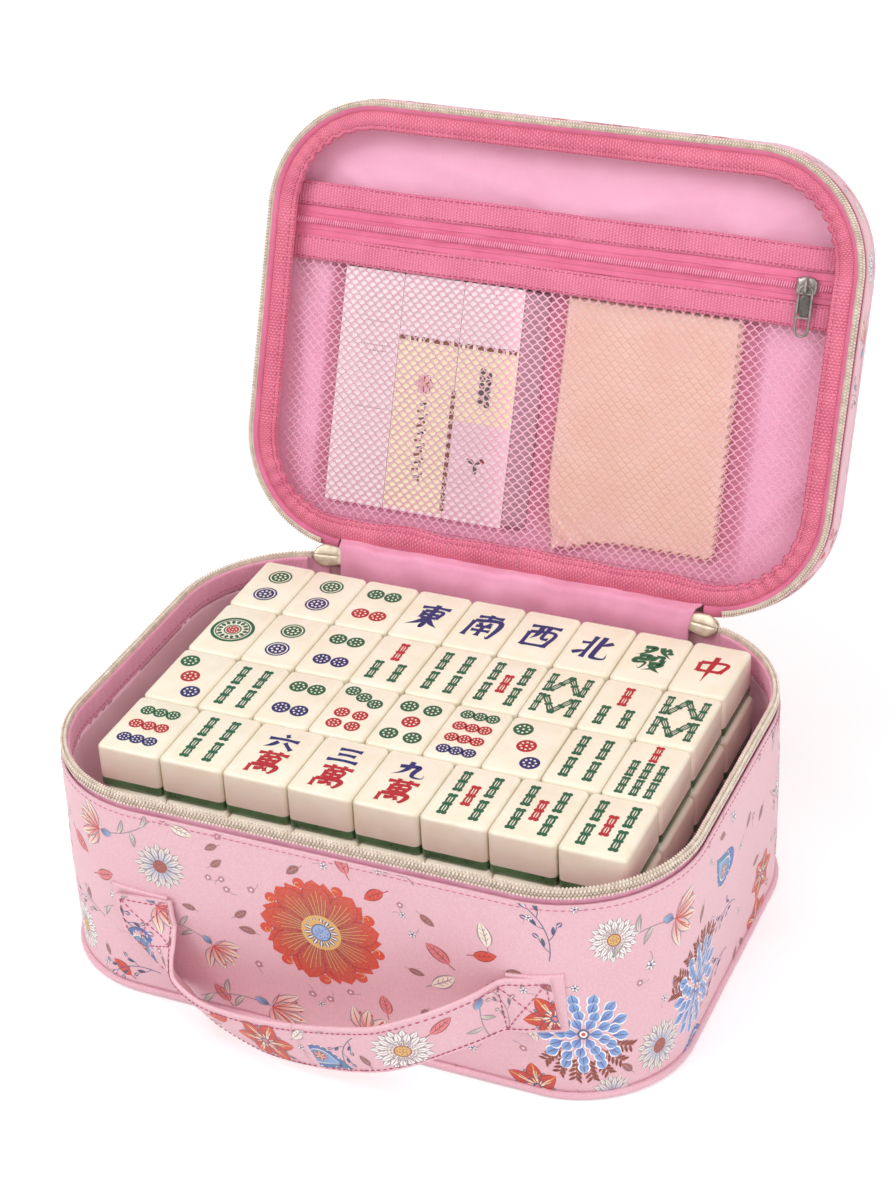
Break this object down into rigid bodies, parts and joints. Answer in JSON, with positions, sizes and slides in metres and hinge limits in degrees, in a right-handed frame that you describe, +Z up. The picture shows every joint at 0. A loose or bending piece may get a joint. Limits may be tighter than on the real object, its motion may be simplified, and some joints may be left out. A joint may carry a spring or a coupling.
{
  "type": "mahjong case",
  "caption": "Soft zip-round case with a hinged lid, net pocket, strap handle and layers of mahjong tiles inside.",
  "frame": {"origin": "middle of the base's flat bottom face", "axes": "+X along the case to the right, +Y towards the hinge at the back, +Z up"},
  "size_m": [0.3096, 0.3634, 0.324],
  "materials": {
    "printed_leatherette": "satin",
    "piping": "satin",
    "stiffener_board": "matte",
    "foam": "matte",
    "lining": "matte",
    "zip_tape": "matte",
    "champagne_coil": "satin",
    "rose_webbing": "matte",
    "pocket_tape": "matte",
    "net_mesh": "matte",
    "nickel": "polished",
    "champagne_metal": "satin",
    "card_stock": "matte",
    "peach_cloth": "matte",
    "tile_ivory": "glossy",
    "tile_green": "glossy"
  },
  "bodies": {
    "base": {"base_bottom_panel": "printed_leatherette", "base_floor_board": "stiffener_board", "base_floor_lining": "lining", "base_floor_pad": "foam", "base_piping": "piping", "base_rim_facing": "rose_webbing", "base_side_wall": "printed_leatherette", "base_wall_board": "stiffener_board", "base_wall_lining": "lining", "base_zip_coil": "champagne_coil", "base_zip_tape": "zip_tape", "handle_patch_left": "printed_leatherette", "handle_patch_right": "printed_leatherette", "hinge_lining": "lining", "hinge_panel": "printed_leatherette", "zip_slider_left": "champagne_metal", "zip_slider_right": "champagne_metal"},
    "lid": {"folded_cloth": "peach_cloth", "lid_binding": "rose_webbing", "lid_board": "stiffener_board", "lid_hinge_strip": "printed_leatherette", "lid_lining": "lining", "lid_piping": "piping", "lid_side_wall": "printed_leatherette", "lid_top_panel": "printed_leatherette", "lid_wall_board": "stiffener_board", "lid_wall_lining": "lining", "lid_zip_coil": "champagne_coil", "lid_zip_tape": "zip_tape", "pocket_lower_band": "rose_webbing", "pocket_net": "net_mesh", "pocket_upper_band": "rose_webbing", "pocket_zip_coil": "pocket_tape", "pocket_zip_stops": "rose_webbing", "pocket_zip_tape": "pocket_tape", "score_cards": "card_stock"},
    "pocket_slider": {"pocket_slider": "nickel"},
    "pocket_puller": {"pocket_puller": "nickel"},
    "zip_puller_left": {"zip_puller_left": "champagne_metal"},
    "zip_puller_right": {"zip_puller_right": "champagne_metal"},
    "handle": {"handle_strap": "printed_leatherette"},
    "top_layer": {"top_row_1_backs": "tile_green", "top_row_1_faces": "tile_ivory", "top_row_2_backs": "tile_green", "top_row_2_faces": "tile_ivory", "top_row_3_backs": "tile_green", "top_row_3_faces": "tile_ivory", "top_row_4_backs": "tile_green", "top_row_4_faces": "tile_ivory"},
    "layer_2": {"layer_2_faces": "tile_ivory", "layer_2_backs": "tile_green"},
    "layer_3": {"layer_3_faces": "tile_ivory", "layer_3_backs": "tile_green"},
    "layer_4": {"layer_4_faces": "tile_ivory", "layer_4_backs": "tile_green"}
  },
  "joints": [
    {"name": "lid_hinge", "type": "hinge", "parent": "base", "child": "lid", "pos_m": [0, 0.113, 0.1135], "axis": [-1, 0, 0], "range_deg": [-111.3, 0]},
    {"name": "pocket_slider_slide", "type": "slide", "parent": "lid", "child": "pocket_slider", "axis": [1, 0, 0], "range_m": [-0.25, 0]},
    {"name": "pocket_puller_swing", "type": "hinge", "parent": "pocket_slider", "child": "pocket_puller", "pos_m": [0.1257, 0.1793, 0.26207], "axis": [-1, 0, 0], "range_deg": [0, 150]},
    {"name": "zip_puller_swing_left", "type": "hinge", "parent": "base", "child": "zip_puller_left", "pos_m": [-0.10046, 0.11315, 0.1098], "axis": [0.987, 0.1609, 0], "range_deg": [0, 45]},
    {"name": "zip_puller_swing_right", "type": "hinge", "parent": "base", "child": "zip_puller_right", "pos_m": [0.10046, 0.11315, 0.1098], "axis": [0.987, -0.1609, 0], "range_deg": [0, 45]},
    {"name": "handle_swing", "type": "hinge", "parent": "base", "child": "handle", "pos_m": [0.006, -0.1133, 0.0615], "axis": [-1, 0, 0], "range_deg": [0, 100]},
    {"name": "layer_4_lift", "type": "slide", "parent": "base", "child": "layer_4", "axis": [0, 0, 1], "range_m": [0, 0.03]},
    {"name": "layer_3_lift", "type": "slide", "parent": "layer_4", "child": "layer_3", "axis": [0, 0, 1], "range_m": [0, 0.03]},
    {"name": "layer_2_lift", "type": "slide", "parent": "layer_3", "child": "layer_2", "axis": [0, 0, 1], "range_m": [0, 0.03]},
    {"name": "top_layer_lift", "type": "slide", "parent": "layer_2", "child": "top_layer", "axis": [0, 0, 1], "range_m": [0, 0.05]}
  ]
}
